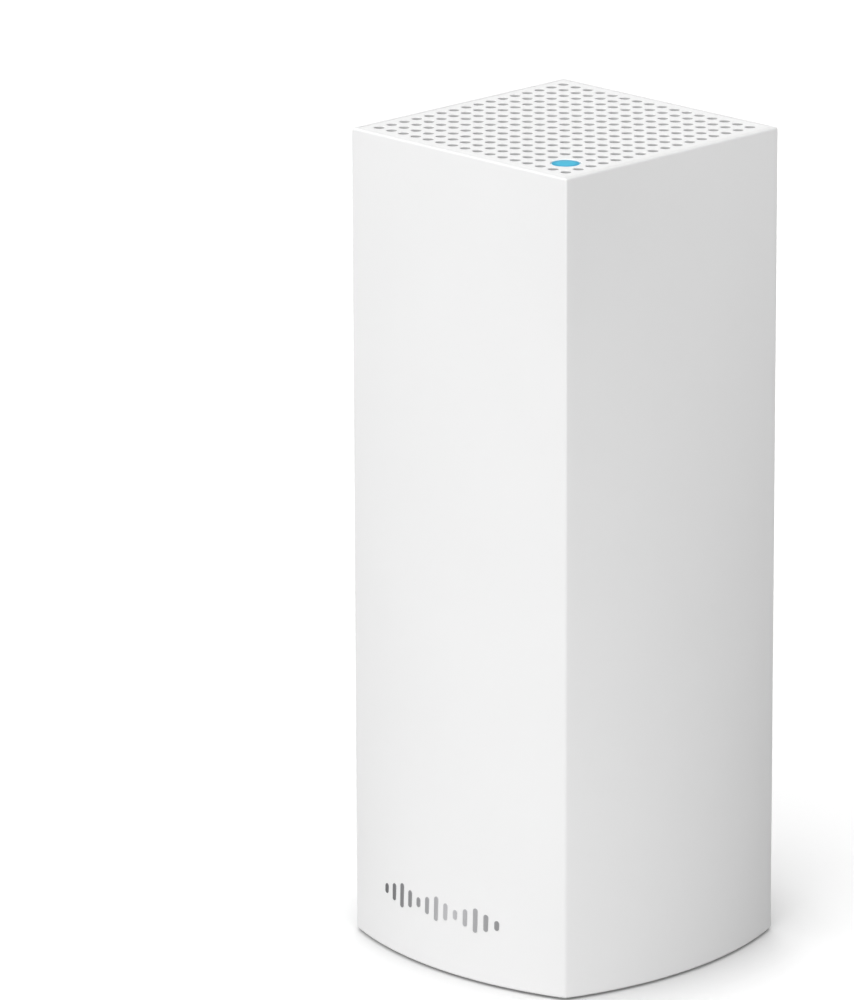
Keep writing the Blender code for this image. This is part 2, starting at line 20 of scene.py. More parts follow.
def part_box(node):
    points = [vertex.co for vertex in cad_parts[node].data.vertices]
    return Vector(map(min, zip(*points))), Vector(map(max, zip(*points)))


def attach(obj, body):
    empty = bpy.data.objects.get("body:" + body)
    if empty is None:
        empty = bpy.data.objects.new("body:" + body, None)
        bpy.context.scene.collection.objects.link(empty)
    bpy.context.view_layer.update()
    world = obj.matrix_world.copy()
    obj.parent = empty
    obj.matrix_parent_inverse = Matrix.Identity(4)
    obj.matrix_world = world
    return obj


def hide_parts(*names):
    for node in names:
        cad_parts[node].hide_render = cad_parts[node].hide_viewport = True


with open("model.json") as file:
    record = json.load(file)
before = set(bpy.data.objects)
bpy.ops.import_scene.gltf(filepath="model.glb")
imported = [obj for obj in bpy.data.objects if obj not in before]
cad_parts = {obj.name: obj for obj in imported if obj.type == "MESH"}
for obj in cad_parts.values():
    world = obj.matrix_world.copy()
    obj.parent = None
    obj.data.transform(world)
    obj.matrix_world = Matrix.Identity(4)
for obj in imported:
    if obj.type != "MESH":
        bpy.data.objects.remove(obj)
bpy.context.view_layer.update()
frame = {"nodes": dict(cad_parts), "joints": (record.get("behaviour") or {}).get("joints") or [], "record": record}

RECORD = frame["record"]
NODES = frame["nodes"]

# %% [markdown]
# Everything is in metres. The main sizes are read back from the frame, so that a piece made here fits the
# solid that it stands for. The sleeve's plan is a straight square at the top. Towards the bottom, each
# side bows out as an arc of a circle, and the wall between the two is ruled, which means that it is
# straight from top to bottom.

# %% Sizes read from the frame
MM = 0.001
SEAM = 0.12 * MM


def size_of(node):
    low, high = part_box(node)
    return Vector(low), Vector(high)


SLEEVE_LOW, SLEEVE_HIGH = size_of("outer_sleeve")
LID_LOW, LID_HIGH = size_of("top_grille")
LIGHT_LOW, LIGHT_HIGH = size_of("status_light_pipe")
HEIGHT = SLEEVE_HIGH.z
RIM = 1.2 * MM
WALL = 2.2 * MM
LEDGE = 2.6 * MM
LID_GAP = 0.3 * MM
HALF = LID_HIGH.x + RIM + LID_GAP
BOW = (SLEEVE_HIGH.x - HALF) / (1 - SLEEVE_LOW.z / HEIGHT)
BOW_RADIUS = (HALF**2 + BOW**2) / (2 * BOW)
print(f"top square {2 * HALF / MM:.1f} mm, bow {BOW / MM:.2f} mm, height {HEIGHT / MM:.1f} mm")


def bow_at(along, height):
    """How far a wall stands out of the straight square."""
    arc = math.sqrt(BOW_RADIUS**2 - along**2) - (BOW_RADIUS - BOW)
    return arc * (1 - height / HEIGHT)


# %% [markdown]
# Colours are written as sRGB hex values, the way a colour picker gives them. Blender's shaders want
# linear light, so one function turns them over. Two more small functions set a shader node's sockets and
# add a new node, so that a material reads as a list of steps.

# %% Colour and node helpers
def linear(hex_colour):
    """An sRGB hex colour as linear RGBA."""
    parts = [int(hex_colour[i:i + 2], 16) / 255 for i in (1, 3, 5)]
    return (*[c / 12.92 if c <= 0.04045 else ((c + 0.055) / 1.055) ** 2.4 for c in parts], 1)


def set_sockets(node, sockets):
    """Gives each socket a plain value, or a link from another node's output."""
    for key, value in sockets.items():
        if isinstance(value, bpy.types.NodeSocket):
            node.id_data.links.new(value, node.inputs[key])
        else:
            node.inputs[key].default_value = value


def add_node(tree, kind, sockets=None, **settings):
    """A new shader node with its settings and its sockets."""
    node = tree.nodes.new(kind)
    for name, value in settings.items():
        setattr(node, name, value)
    set_sockets(node, sockets or {})
    return node


def start_material(name, roughness, metallic=0.0, ior=1.5):
    """A material with a Principled shader, and the tree and coordinates to build a pattern with."""
    material = bpy.data.materials.new(name)
    material.use_nodes = True
    tree = material.node_tree
    shader = tree.nodes["Principled BSDF"]
    set_sockets(shader, {"Roughness": roughness, "Metallic": metallic, "IOR": ior})
    place = add_node(tree, "ShaderNodeTexCoord").outputs["Object"]
    return material, tree, shader, place


# %% [markdown]
# ## The camera and the studio
#
# The camera comes first, because everything is judged through it. It is a long lens a little over a metre
# and a half away, looking down at about 16 degrees, at the tower's front corner. A long lens keeps the
# upright edges parallel.

# %% Camera
CAMERA_AZIMUTH = math.radians(44.64)
CAMERA_DISTANCE = 1.6034
CAMERA_HEIGHT = 0.5747
CAMERA_TURN = math.radians(1.083)
CAMERA_DIP = math.radians(16.475)
CAMERA_ROLL = math.radians(-0.25)
SENSOR = 36.0
FOCAL_PER_FRAME_HEIGHT = 7.5785


def make_camera():
    data = bpy.data.cameras.new("camera")
    data.sensor_width = SENSOR
    data.lens = FOCAL_PER_FRAME_HEIGHT * SENSOR
    data.clip_end = 20
    camera = bpy.data.objects.new("camera", data)
    bpy.context.scene.collection.objects.link(camera)
    where = Vector((math.sin(CAMERA_AZIMUTH), -math.cos(CAMERA_AZIMUTH), 0)) * CAMERA_DISTANCE
    where.z = CAMERA_HEIGHT
    heading = Matrix.Rotation(CAMERA_AZIMUTH + CAMERA_TURN, 4, "Z")
    tilt = Matrix.Rotation(math.pi / 2 - CAMERA_DIP, 4, "X")
    roll = Matrix.Rotation(CAMERA_ROLL, 4, "Z")
    camera.matrix_world = Matrix.Translation(where) @ heading @ tilt @ roll
    bpy.context.scene.camera = camera
    return camera


print("lens:", round(make_camera().data.lens), "mm")

# %% [markdown]
# White plastic on white needs soft light that falls off slowly, or the walls turn into flat patches. The
# world here is a huge soft dome, one half bright and the other dark. A wall's brightness then follows the
# cosine of its angle to the light, and the bowed walls show their curve as a smooth gradient. A faint key
# light adds a little direction, and a wide light behind the tower keeps its rear and its lid bright.
#
# The floor is a white sweep. It sends only part of its light back up, as it does when black cards stand
# around the set, so the shaded wall stays shaded. To the camera it glows faintly and darkens close to
# whatever touches it, which gives the tower a soft and narrow shadow to stand on.

# %% Floor and light
LIGHT_AZIMUTH = math.radians(19)
LIGHT_RISE = math.radians(4)
DOME_EDGE = 0.25
DOME_BRIGHT = 1.41
DOME_DIM = 0.03
KEY_AZIMUTH = math.radians(26)
KEY_RISE = math.radians(32)
KEY_WIDTH = math.radians(30)
KEY_STRENGTH = 0.35
BACK_AZIMUTH = math.radians(225)
BACK_RISE = math.radians(38)
BACK_WIDTH = math.radians(55)
BACK_STRENGTH = 1.3
FLOOR_HALF = 6.0
FLOOR_SEEN = "#FFFFFF"
FLOOR_BOUNCE = "#B0B0B0"
FLOOR_GLOW = 0.08
SHADOW_REACH = 22 * MM
SHADOW_LIGHT = 0.0


def make_floor():
    bm = bmesh.new()
    bmesh.ops.create_grid(bm, x_segments=1, y_segments=1, size=FLOOR_HALF)
    mesh = bpy.data.meshes.new("studio_floor")
    bm.to_mesh(mesh)
    bm.free()
    material, tree, shader, place = start_material("matt_white_paint", 0.9)
    near = add_node(tree, "ShaderNodeAmbientOcclusion", {"Distance": SHADOW_REACH}, samples=16)
    seen = add_node(tree, "ShaderNodeMapRange", {0: near.outputs["AO"], 3: SHADOW_LIGHT, 4: 1.0})
    camera_ray = add_node(tree, "ShaderNodeLightPath").outputs["Is Camera Ray"]
    share = add_node(tree, "ShaderNodeMath", {0: seen.outputs[0], 1: camera_ray}, operation="MULTIPLY")
    tone = add_node(
        tree, "ShaderNodeMix", {0: share.outputs[0], 6: linear(FLOOR_BOUNCE), 7: linear(FLOOR_SEEN)},
        data_type="RGBA",
    )
    glow = add_node(tree, "ShaderNodeMath", {0: camera_ray, 1: FLOOR_GLOW}, operation="MULTIPLY")
    set_sockets(shader, {
        "Base Color": tone.outputs[2], "Specular IOR Level": 0.0,
        "Emission Color": linear(FLOOR_SEEN), "Emission Strength": glow.outputs[0],
    })
    mesh.materials.append(material)
    floor = bpy.data.objects.new("studio_floor", mesh)
    bpy.context.scene.collection.objects.link(floor)


def make_world():
    world = bpy.data.worlds.new("studio")
    bpy.context.scene.world = world
    world.use_nodes = True
    tree = world.node_tree
    tree.nodes.clear()
    towards = Vector((
        math.sin(LIGHT_AZIMUTH) * math.cos(LIGHT_RISE),
        -math.cos(LIGHT_AZIMUTH) * math.cos(LIGHT_RISE),
        math.sin(LIGHT_RISE),
    ))
    ray = add_node(tree, "ShaderNodeTexCoord").outputs["Generated"]
    facing = add_node(tree, "ShaderNodeVectorMath", {0: ray, 1: towards}, operation="DOT_PRODUCT")
    side = add_node(
        tree, "ShaderNodeMapRange",
        {0: facing.outputs["Value"], 1: -DOME_EDGE, 2: DOME_EDGE, 3: DOME_DIM, 4: DOME_BRIGHT},
        interpolation_type="SMOOTHSTEP",
    )
    white = linear("#FFFFFF")
    dome = add_node(tree, "ShaderNodeBackground", {"Color": white, "Strength": side.outputs[0]})
    backdrop = add_node(tree, "ShaderNodeBackground", {"Color": white, "Strength": 1.0})
    camera_ray = add_node(tree, "ShaderNodeLightPath").outputs["Is Camera Ray"]
    both = add_node(
        tree, "ShaderNodeMixShader", {0: camera_ray, 1: dome.outputs[0], 2: backdrop.outputs[0]},
    )
    add_node(tree, "ShaderNodeOutputWorld", {0: both.outputs[0]})


def add_sun(name, azimuth, rise, width, strength, glints=True):
    """A wide, distant light. Without glints it brightens surfaces, but gives them no highlight."""
    data = bpy.data.lights.new(name, "SUN")
    data.energy = strength
    data.angle = width
    sun = bpy.data.objects.new(name, data)
    sun.rotation_euler = (math.pi / 2 - rise, 0, azimuth)
    sun.visible_glossy = glints
    bpy.context.scene.collection.objects.link(sun)


make_floor()
make_world()
add_sun("key", KEY_AZIMUTH, KEY_RISE, KEY_WIDTH, KEY_STRENGTH)
add_sun("back", BACK_AZIMUTH, BACK_RISE, BACK_WIDTH, BACK_STRENGTH, glints=False)
bpy.context.scene.view_settings.view_transform = "Standard"
print("studio ready")

# %% [markdown]
# ## Helpers for pieces
#
# A finished piece goes into the scene at the origin, with its place in its mesh, as the frame's own nodes do. It
# rides on the body of the node that it stands for.

# %% Piece helpers
BODY_OF = {node: body for body, nodes in RECORD["behaviour"]["bodies"].items() for node in nodes}
SLOT_OF = {part["node"]: part["material_slot"] for part in RECORD["subparts"]}
SMOOTH_BELOW = math.radians(40)


def show(name, bm, material, node, hides=True, smooth=SMOOTH_BELOW):
    """Makes a piece of the mesh. It rides with a node's body and, if it hides the node, stands for it."""
    mesh = bpy.data.meshes.new(name)
    bm.to_mesh(mesh)
    bm.free()
    mesh.shade_smooth()
    mesh.set_sharp_from_angle(angle=smooth)
    mesh.materials.append(material)
    piece = bpy.data.objects.new(name, mesh)
    bpy.context.scene.collection.objects.link(piece)
    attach(piece, BODY_OF[node])
    if hides:
        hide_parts(node)
    print(f"{name}: {len(mesh.polygons)} faces")
    return piece


def verts_in(items):
    """The vertices among what a mesh operator gives back."""
    return [item for item in items if isinstance(item, bmesh.types.BMVert)]


def edges_where(bm, test):
    return [edge for edge in bm.edges if all(test(vert.co) for vert in edge.verts)]


def sharp_edges(bm, angle=math.radians(30)):
    return [edge for edge in bm.edges if edge.is_manifold and edge.calc_face_angle() > angle]


def round_edges(bm, edges, radius, segments=3):
    bmesh.ops.bevel(
        bm, geom=edges, offset=radius, offset_type="OFFSET", segments=segments, profile=0.5,
        affect="EDGES", clamp_overlap=True, material=-1,
    )


def merged_copy(node):
    """A node's mesh as a bmesh, with its loose corners merged and its flat faces joined."""
    bm = bmesh.new()
    bm.from_mesh(NODES[node].data)
    bmesh.ops.remove_doubles(bm, verts=bm.verts, dist=0.002 * MM)
    bmesh.ops.dissolve_limit(bm, angle_limit=math.radians(0.5), verts=bm.verts, edges=bm.edges)
    return bm


# %% [markdown]
# ## White ABS
#
# The shell is ABS, moulded in a tool with a fine spark-eroded texture. That gives the eye a plain matt
# white with no clear reflections, a very fine grain up close, and faint slow changes in tone where the
# plastic flowed. The grain of such a tool is about 0.1 mm, which is too fine to show, so it is drawn
# about three times as coarse.

# %% Material: moulded white ABS
SPARK_GRAIN = 0.3 * MM
FLOW_SIZE = 30 * MM
GLOSS_SPREAD = 0.08


def moulded(name, light, dark, roughness=0.5, grain=SPARK_GRAIN, depth_mm=0.012, ior=1.53):
    """Moulded plastic: a slow change of tone, and a fine grain in its gloss and its surface."""
    material, tree, shader, place = start_material(name, roughness, ior=ior)
    flow = add_node(tree, "ShaderNodeTexNoise", {"Vector": place, "Scale": 1 / FLOW_SIZE, "Detail": 2.0})
    tone = add_node(
        tree, "ShaderNodeMix", {0: flow.outputs[0], 6: linear(light), 7: linear(dark)}, data_type="RGBA",
    )
    fine = add_node(
        tree, "ShaderNodeTexNoise",
        {"Vector": place, "Scale": 1 / grain, "Detail": 2.0, "Roughness": 0.6},
    )
    gloss = add_node(
        tree, "ShaderNodeMapRange",
        {0: fine.outputs[0], 3: roughness - GLOSS_SPREAD, 4: roughness + GLOSS_SPREAD},
    )
    relief = add_node(tree, "ShaderNodeBump", {"Height": fine.outputs[0], "Distance": depth_mm * MM})
    set_sockets(shader, {
        "Base Color": tone.outputs[2], "Roughness": gloss.outputs[0], "Normal": relief.outputs[0],
    })
    return material


WHITE_ABS = moulded("moulded_white_abs", "#F1F1F1", "#EEEEEE")
# Depths under the lid's top where the painted shade in the holes begins and where it is full.
SHADE_STARTS = 0.05 * MM
SHADE_ENDS = 0.3 * MM


def grille_abs():
    """The same white ABS on the lid, in a lighter copy that paints extra light on the top. Down the holes it turns
    grey, which is painted shade inside the holes.
    """
    # A lighter white than the sleeve's, which paints extra light on the top.
    material = moulded("moulded_white_abs_grille_painted_light_and_shade", "#F8F8F8", "#F5F5F5", roughness=0.55)
    tree = material.node_tree
    shader = tree.nodes["Principled BSDF"]
    surface = shader.inputs["Base Color"].links[0].from_socket
    place = add_node(tree, "ShaderNodeTexCoord").outputs["Object"]
    height = add_node(tree, "ShaderNodeSeparateXYZ", {0: place}).outputs["Z"]
    # Painted shade: the hole walls turn grey with depth below the top.
    down = add_node(
        tree, "ShaderNodeMapRange", {0: height, 1: HEIGHT - SHADE_STARTS, 2: HEIGHT - SHADE_ENDS},
    )
    shade = add_node(
        tree, "ShaderNodeMix", {0: down.outputs[0], 6: surface, 7: linear("#C2C2C2")}, data_type="RGBA",
    )
    set_sockets(shader, {"Base Color": shade.outputs[2]})
    return material


LID_ABS = grille_abs()
BASE_ABS = moulded("moulded_white_abs_base", "#E6E6E5", "#E2E2E1", roughness=0.6, depth_mm=0.02)

# %% [markdown]
# ## The sleeve
#
# The sleeve could be lofted from outlines, but one wall is enough: a flat grid, bent to the ruled
# surface, and turned three more times about the middle. Its top edge is then carried inwards and down,
# which makes the rim, the ledge under the lid and the inner wall. The outer edges get a radius of about
# half a millimetre, because that thin bright line is what tells the eye where one white wall ends and the
# next begins.

# %% Sleeve
EDGE_RADIUS = 0.5 * MM
WALL_COLUMNS = 48
WALL_ROWS = 24
SLOT_HALF = 10 * MM
SLOT_TOP = 10 * MM
SLOT_CORNER = 1.5 * MM
SLOT_CUT_DEPTH = 12 * MM
TOUCH = 0.01 * MM


def wall_y(along, height, inset=0.0):
    """The -Y wall's place at a distance along it and a height."""
    half = HALF - inset
    return -half - bow_at(along * HALF / half, height)


def on_section(co, inset):
    """Moves a point to the sleeve's plan at its height, set in from the outer face."""
    half = HALF - inset
    reach = max(abs(co.x), abs(co.y))
    if abs(co.y) >= abs(co.x):
        co.x *= half / reach
        co.y = math.copysign(-wall_y(co.x, co.z, inset), co.y)
    else:
        co.y *= half / reach
        co.x = math.copysign(-wall_y(co.y, co.z, inset), co.x)


def is_outer(co):
    along, out = sorted((abs(co.x), abs(co.y)))
    return out > HALF + bow_at(along, co.z) - 5 * TOUCH


def make_sleeve():
    low = SLEEVE_LOW.z
    bm = bmesh.new()
    bmesh.ops.create_grid(bm, x_segments=WALL_COLUMNS, y_segments=WALL_ROWS, size=1)
    for vert in bm.verts:
        along = vert.co.x * HALF
        height = low + (vert.co.y + 1) / 2 * (HEIGHT - low)
        vert.co = (along, wall_y(along, height), height)
    bmesh.ops.spin(
        bm, geom=bm.verts[:] + bm.edges[:] + bm.faces[:], cent=(0, 0, 0), axis=(0, 0, 1),
        angle=math.radians(270), steps=3, use_duplicate=True,
    )
    bmesh.ops.remove_doubles(bm, verts=bm.verts, dist=TOUCH)
    top = edges_where(bm, lambda co: co.z > HEIGHT - TOUCH)
    foot = edges_where(bm, lambda co: co.z < low + TOUCH)
    ledge = LID_LOW.z - SEAM
    for inset, height in ((RIM, HEIGHT), (RIM, ledge), (LEDGE, ledge), (WALL, low)):
        made = bmesh.ops.extrude_edge_only(bm, edges=top)["geom"]
        for vert in verts_in(made):
            scale = (HALF - inset) / max(abs(vert.co.x), abs(vert.co.y))
            vert.co = (vert.co.x * scale, vert.co.y * scale, height)
            on_section(vert.co, inset)
        top = [item for item in made if isinstance(item, bmesh.types.BMEdge)]
    bmesh.ops.bridge_loops(bm, edges=top + foot)
    bmesh.ops.recalc_face_normals(bm, faces=bm.faces)
    corner = HALF - TOUCH
    uprights = edges_where(bm, lambda co: min(abs(co.x), abs(co.y)) > corner)
    brim = edges_where(bm, lambda co: co.z > HEIGHT - TOUCH and max(abs(co.x), abs(co.y)) > corner)
    hem = edges_where(bm, lambda co: co.z < low + TOUCH and is_outer(co))
    round_edges(bm, list(set(uprights + brim + hem)), EDGE_RADIUS, segments=4)
    return bm


def cut_slot(piece):
    """Cuts the cable slot in the rear wall with rounded upper corners, and applies the cut."""
    bm = bmesh.new()
    size = Matrix.Diagonal((2 * SLOT_HALF, SLOT_CUT_DEPTH, 2 * SLOT_TOP, 1))
    bmesh.ops.create_cube(bm, size=1, matrix=Matrix.Translation((0, HALF + BOW / 2, 0)) @ size)
    round_edges(bm, edges_where(bm, lambda co: co.z > 0), SLOT_CORNER, segments=4)
    mesh = bpy.data.meshes.new("slot_cutter")
    bm.to_mesh(mesh)
    bm.free()
    cutter = bpy.data.objects.new("slot_cutter", mesh)
    bpy.context.scene.collection.objects.link(cutter)
    slot = piece.modifiers.new("slot", "BOOLEAN")
    slot.operation = "DIFFERENCE"
    slot.object = cutter
    apply_modifiers(piece)
    bpy.data.objects.remove(cutter)


def apply_modifiers(piece):
    bpy.context.view_layer.update()
    graph = bpy.context.evaluated_depsgraph_get()
    old = piece.data
    piece.data = bpy.data.meshes.new_from_object(piece.evaluated_get(graph))
    piece.modifiers.clear()
    piece.data.name = old.name
    bpy.data.meshes.remove(old)


def add_weighted_normals(piece):
    """Lets the large faces decide the shading, so that a rounded edge doesn't darken its wall."""
    weighted = piece.modifiers.new("weighted", "WEIGHTED_NORMAL")
    weighted.keep_sharp = True
    weighted.weight = 100


SLEEVE = show("sleeve_shell", make_sleeve(), WHITE_ABS, "outer_sleeve", smooth=math.radians(50))
cut_slot(SLEEVE)
add_weighted_normals(SLEEVE)

# %% [markdown]
# ## The lid
#
# The lid is a square grid of round holes. One cell is made, a ring of sixteen points inside a square, and
# laid out sixteen by sixteen. Four cells near one corner make room for a single larger cell, where the
# light sits. The sheet gets a margin, a thickness and a tiny chamfer round each hole, which catches the
# light as the moulded edge does.

# %% Lid
HOLES_PER_SIDE = 16
HOLE_PITCH = 3.8 * MM
HOLE_RADIUS = 1.2 * MM
HOLE_SIDES = 16
HOLE_CHAMFER = 0.06 * MM
LIGHT_COLUMNS = (HOLES_PER_SIDE - 3, HOLES_PER_SIDE - 2)
LIGHT_ROWS = (1, 2)
LIGHT_RADIUS = (LIGHT_HIGH.x - LIGHT_LOW.x) / 2
LIGHT_GAP = 0.1 * MM
LIGHT_X = (LIGHT_HIGH.x + LIGHT_LOW.x) / 2
LIGHT_Y = (LIGHT_HIGH.y + LIGHT_LOW.y) / 2


def hole_cell(width, radius, sides):
    """A square of flat sheet with a round hole in its middle, as a mesh."""
    bm = bmesh.new()
    hole = bmesh.ops.create_circle(bm, segments=sides, radius=radius)["verts"]
    hole_edges = list({edge for vert in hole for edge in vert.link_edges})
    turn = Matrix.Rotation(math.pi / 4, 4, "Z")
    square = bmesh.ops.create_circle(bm, segments=4, radius=width / math.sqrt(2), matrix=turn)["verts"]
    sides_of_square = list({edge for vert in square for edge in vert.link_edges})
    bmesh.ops.subdivide_edges(bm, edges=sides_of_square, cuts=sides // 4 - 1)
    square_edges = [edge for edge in bm.edges if edge not in hole_edges]
    bmesh.ops.bridge_loops(bm, edges=hole_edges + square_edges)
    mesh = bpy.data.meshes.new("cell")
    bm.to_mesh(mesh)
    bm.free()
    return mesh


def lay_cell(bm, mesh, x, y):
    """Adds a copy of a cell's mesh to the sheet at a place."""
    start = len(bm.verts)
    bm.from_mesh(mesh)
    bm.verts.ensure_lookup_table()
    bmesh.ops.translate(bm, verts=bm.verts[start:], vec=(x, y, 0))


def make_lid():
    bm = bmesh.new()
    cell = hole_cell(HOLE_PITCH, HOLE_RADIUS, HOLE_SIDES)
    first = -HOLE_PITCH * (HOLES_PER_SIDE - 1) / 2
    for column in range(HOLES_PER_SIDE):
        for row in range(HOLES_PER_SIDE):
            if not (column in LIGHT_COLUMNS and row in LIGHT_ROWS):
                lay_cell(bm, cell, first + column * HOLE_PITCH, first + row * HOLE_PITCH)
    lay_cell(bm, hole_cell(2 * HOLE_PITCH, LIGHT_RADIUS + LIGHT_GAP, 2 * HOLE_SIDES), LIGHT_X, LIGHT_Y)
    bmesh.ops.remove_doubles(bm, verts=bm.verts, dist=TOUCH)
    field = HOLE_PITCH * HOLES_PER_SIDE / 2
    rim = edges_where(bm, lambda co: max(abs(co.x), abs(co.y)) > field - TOUCH)
    made = bmesh.ops.extrude_edge_only(bm, edges=rim)["geom"]
    edge = HALF - RIM - SEAM
    for vert in verts_in(made):
        for axis in (0, 1):
            if abs(vert.co[axis]) > field - TOUCH:
                vert.co[axis] = math.copysign(edge, vert.co[axis])
    bmesh.ops.translate(bm, verts=bm.verts, vec=(0, 0, LID_LOW.z))
    swept = bmesh.ops.extrude_face_region(bm, geom=bm.faces[:], use_keep_orig=True)["geom"]
    bmesh.ops.translate(bm, verts=verts_in(swept), vec=(0, 0, HEIGHT - LID_LOW.z))
    bmesh.ops.recalc_face_normals(bm, faces=bm.faces)
    top = [edge for edge in sharp_edges(bm) if min(vert.co.z for vert in edge.verts) > HEIGHT - TOUCH]
    round_edges(bm, top, HOLE_CHAMFER, segments=1)
    return bm


show("lid_plate", make_lid(), LID_ABS, "top_grille", smooth=math.radians(35))

# %% [markdown]
# The base screws need something to bite into. Each corner of the sleeve has a moulded post, and a post is
# one more cell of sheet with a hole, drawn out to the two walls beside it and then made as tall as the
# post.

# %% Screw posts
SCREW_LOW, SCREW_HIGH = size_of("base_screw_1")
POST_AT = abs(SCREW_LOW.x + SCREW_HIGH.x) / 2
POST_WIDTH = 6.4 * MM
POST_HOLE = 1.5 * MM
POST_LOW = 5.5 * MM
POST_HIGH = 17 * MM


def make_posts():
    bm = bmesh.new()
    cell = hole_cell(POST_WIDTH, POST_HOLE, HOLE_SIDES)
    for x in (-POST_AT, POST_AT):
        for y in (-POST_AT, POST_AT):
            lay_cell(bm, cell, x, y)
    outer = POST_AT + POST_WIDTH / 2 - TOUCH
    in_wall = HALF - WALL / 2
    for vert in bm.verts:
        for axis in (0, 1):
            if abs(vert.co[axis]) > outer:
                vert.co[axis] = math.copysign(in_wall, vert.co[axis])
    swept = bmesh.ops.extrude_face_region(bm, geom=bm.faces[:], use_keep_orig=True)["geom"]
    bmesh.ops.translate(bm, verts=bm.verts, vec=(0, 0, POST_LOW))
    bmesh.ops.translate(bm, verts=verts_in(swept), vec=(0, 0, POST_HIGH - POST_LOW))
    bmesh.ops.recalc_face_normals(bm, faces=bm.faces)
    return bm


show("screw_posts", make_posts(), WHITE_ABS, "outer_sleeve", smooth=math.radians(35))

# %% [markdown]
# ## The status light
#
# The light is a frosted acrylic rod with a wide head, pressed into the lid from below and lit by an LED under its
# stem. A turned profile makes it in one go. Frosted acrylic spreads the light, so the head glows evenly. A darker
# band just inside its rim is painted shade, and a thin white ring at its edge is a painted glow.

# %% Status light
LIGHT_HEAD_FLAT = 0.05 * MM
STEM_RADIUS = 2.0 * MM


def turned(profile, x, y, steps=32):
    """A closed shape turned about an upright axis. The profile is (radius, height) points."""
    bm = bmesh.new()
    line = [bm.verts.new((x + radius, y, height)) for radius, height in profile]
    edges = [bm.edges.new(pair) for pair in zip(line, line[1:])]
    bmesh.ops.spin(
        bm, geom=line + edges, cent=(x, y, 0), axis=(0, 0, 1), angle=math.tau, steps=steps,
        use_merge=True,
    )
    bmesh.ops.remove_doubles(bm, verts=bm.verts, dist=0.001 * MM)
    bmesh.ops.recalc_face_normals(bm, faces=bm.faces)
    return bm


def lit_acrylic():
    """Frosted acrylic with an LED behind it: cyan, with a darker band of painted shade near the rim and a thin
    white ring of painted glow at the rim.
    """
    material, tree, shader, place = start_material("frosted_acrylic_lit", 0.35, ior=1.49)
    shift = add_node(tree, "ShaderNodeMapping", {"Vector": place, "Location": (-LIGHT_X, -LIGHT_Y, 0)})
    flat = add_node(
        tree, "ShaderNodeVectorMath", {0: shift.outputs[0], 1: (1, 1, 0)}, operation="MULTIPLY",
    )
    out = add_node(tree, "ShaderNodeVectorMath", {0: flat.outputs[0]}, operation="LENGTH")
    share = add_node(tree, "ShaderNodeMapRange", {0: out.outputs["Value"], 2: LIGHT_RADIUS})
    # The ramp: cyan glow, a darker band at 0.92 that is painted shade, and a white ring from 0.955 out that is a
    # painted glow.
    ramp = add_node(tree, "ShaderNodeValToRGB", {0: share.outputs[0]})
    stops = ramp.color_ramp.elements
    stops[0].color = linear("#4FB4D2")
    stops[1].color = linear("#E9F6FA")
    stops.new(0.6).color = linear("#4CB2D1")
    stops.new(0.92).color = linear("#2F96BA")
    stops.new(0.955).color = linear("#E9F6FA")
    fine = add_node(tree, "ShaderNodeTexNoise", {"Vector": place, "Scale": 1 / (0.2 * MM), "Detail": 2.0})
    relief = add_node(tree, "ShaderNodeBump", {"Height": fine.outputs[0], "Distance": 0.004 * MM})
    set_sockets(shader, {
        "Base Color": ramp.outputs[0], "Emission Color": ramp.outputs[0], "Emission Strength": 0.25,
        "Normal": relief.outputs[0],
    })
    return material


def make_light():
    top = LIGHT_HIGH.z - LIGHT_HEAD_FLAT
    low = LIGHT_LOW.z
    profile = [
        (0, top), (LIGHT_RADIUS - 0.5 * MM, top), (LIGHT_RADIUS - 0.15 * MM, top - 0.08 * MM),
        (LIGHT_RADIUS, top - 0.3 * MM), (LIGHT_RADIUS, LID_LOW.z),
        (STEM_RADIUS + 0.4 * MM, LID_LOW.z - 0.6 * MM), (STEM_RADIUS, LID_LOW.z - 1.4 * MM),
        (STEM_RADIUS, low + 0.3 * MM), (STEM_RADIUS - 0.3 * MM, low), (0, low),
    ]
    return turned(profile, LIGHT_X, LIGHT_Y, steps=48)


show("status_light", make_light(), lit_acrylic(), "status_light_pipe")

# %% [markdown]
# ## The mark
#
# The front wall carries a hot-stamped foil mark near its foot. Here it is a plain row of upright bars,
# like a sound wave, which says nothing and belongs to nobody. Each bar is a disc whose halves are pulled
# apart, so that its ends stay round, and it is then laid on the bowed wall point by point. Foil that thin
# has no height to speak of, so the bars stand only a tenth of a millimetre proud.

# %% Mark
MARK_LOW, MARK_HIGH = size_of("front_badge")
BAR_WIDTH = 1.25 * MM
BAR_PROUD = 0.1 * MM
BAR_SUNK = 0.03 * MM
BAR_SIDES = 16
MARK_MARGIN = 0.1 * MM
BAR_HEIGHTS = [0.4, 0.7, 1.0, 0.7, 0.4, 0.7, 1.0, 0.7, 0.4, 0.7, 1.0, 0.7, 0.4]


